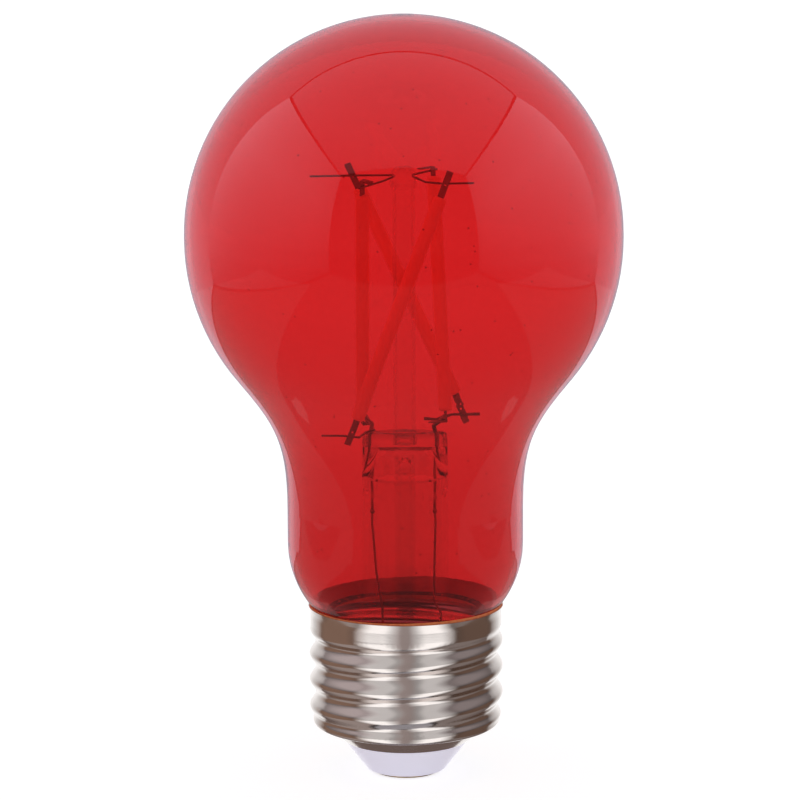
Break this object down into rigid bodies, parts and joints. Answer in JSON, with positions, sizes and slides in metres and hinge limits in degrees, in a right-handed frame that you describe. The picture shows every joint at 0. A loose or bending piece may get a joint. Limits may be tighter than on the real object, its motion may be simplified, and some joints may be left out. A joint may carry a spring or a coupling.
{
  "type": "led filament bulb",
  "caption": "Pear-shaped LED filament lamp with a red see-through glass globe, slanted filaments on a glass stem and a nickel screw cap.",
  "frame": {"origin": "centre of the flat tip of the centre contact, on the lamp's axis", "axes": "+Z along the lamp's axis from the contact to the crown of the globe, -Y towards the side that the picture shows, +X to its right"},
  "size_m": [0.059, 0.059, 0.1039],
  "materials": {
    "red_glass": "clear glass coloured red, polished",
    "clear_glass": "clear soft glass, flame polished",
    "phosphor_silicone": "soft silicone filled with phosphor, satin",
    "carrier_ceramic": "translucent sintered ceramic",
    "strip_metal": "stamped plated iron strip",
    "molybdenum_wire": "drawn wire, dull grey",
    "nickel_wire": "drawn nickel wire",
    "copper_clad_wire": "copper-clad wire, oxidised where it passes the glass",
    "copper_wire": "bare copper wire",
    "nickel_plate": "bright nickel plating on rolled brass",
    "white_plastic": "white moulded insulator, satin gloss",
    "contact_brass": "nickel-flashed brass plate, slightly dulled",
    "cement": "baked red-brown capping cement, grainy",
    "board_laminate": "glass-fibre laminate under solder mask",
    "black_epoxy": "moulded black epoxy",
    "resistor_ceramic": "thick-film resistor on ceramic",
    "capacitor_sleeve": "printed-free plastic sleeve on an aluminium can",
    "fuse_coating": "flame-proof lacquer",
    "wire_insulation": "heat-proof plastic insulation"
  },
  "bodies": {
    "root": {"glass_envelope": "red_glass", "stem_flare": "clear_glass", "exhaust_tube": "clear_glass", "support_rod": "clear_glass", "upper_wire_left": "molybdenum_wire", "upper_wire_right": "molybdenum_wire", "lead_hook_left": "nickel_wire", "lead_hook_right": "nickel_wire", "cross_wire_left": "molybdenum_wire", "cross_wire_right": "molybdenum_wire", "seal_wire_left": "copper_clad_wire", "seal_wire_right": "copper_clad_wire", "outer_lead_left": "copper_wire", "outer_lead_right": "copper_wire", "filament_1_coating": "phosphor_silicone", "filament_1_carrier": "carrier_ceramic", "filament_1_top_strip": "strip_metal", "filament_1_bottom_strip": "strip_metal", "filament_2_coating": "phosphor_silicone", "filament_2_carrier": "carrier_ceramic", "filament_2_top_strip": "strip_metal", "filament_2_bottom_strip": "strip_metal", "filament_3_coating": "phosphor_silicone", "filament_3_carrier": "carrier_ceramic", "filament_3_top_strip": "strip_metal", "filament_3_bottom_strip": "strip_metal", "filament_4_coating": "phosphor_silicone", "filament_4_carrier": "carrier_ceramic", "filament_4_top_strip": "strip_metal", "filament_4_bottom_strip": "strip_metal", "basing_cement": "cement", "screw_shell": "nickel_plate", "insulator": "white_plastic", "centre_contact": "contact_brass", "driver_board": "board_laminate", "bridge_rectifier": "black_epoxy", "driver_chip": "black_epoxy", "chip_resistors": "resistor_ceramic", "smoothing_capacitor": "capacitor_sleeve", "fusible_resistor": "fuse_coating", "live_wire": "wire_insulation", "neutral_wire": "wire_insulation"}
  },
  "joints": []
}
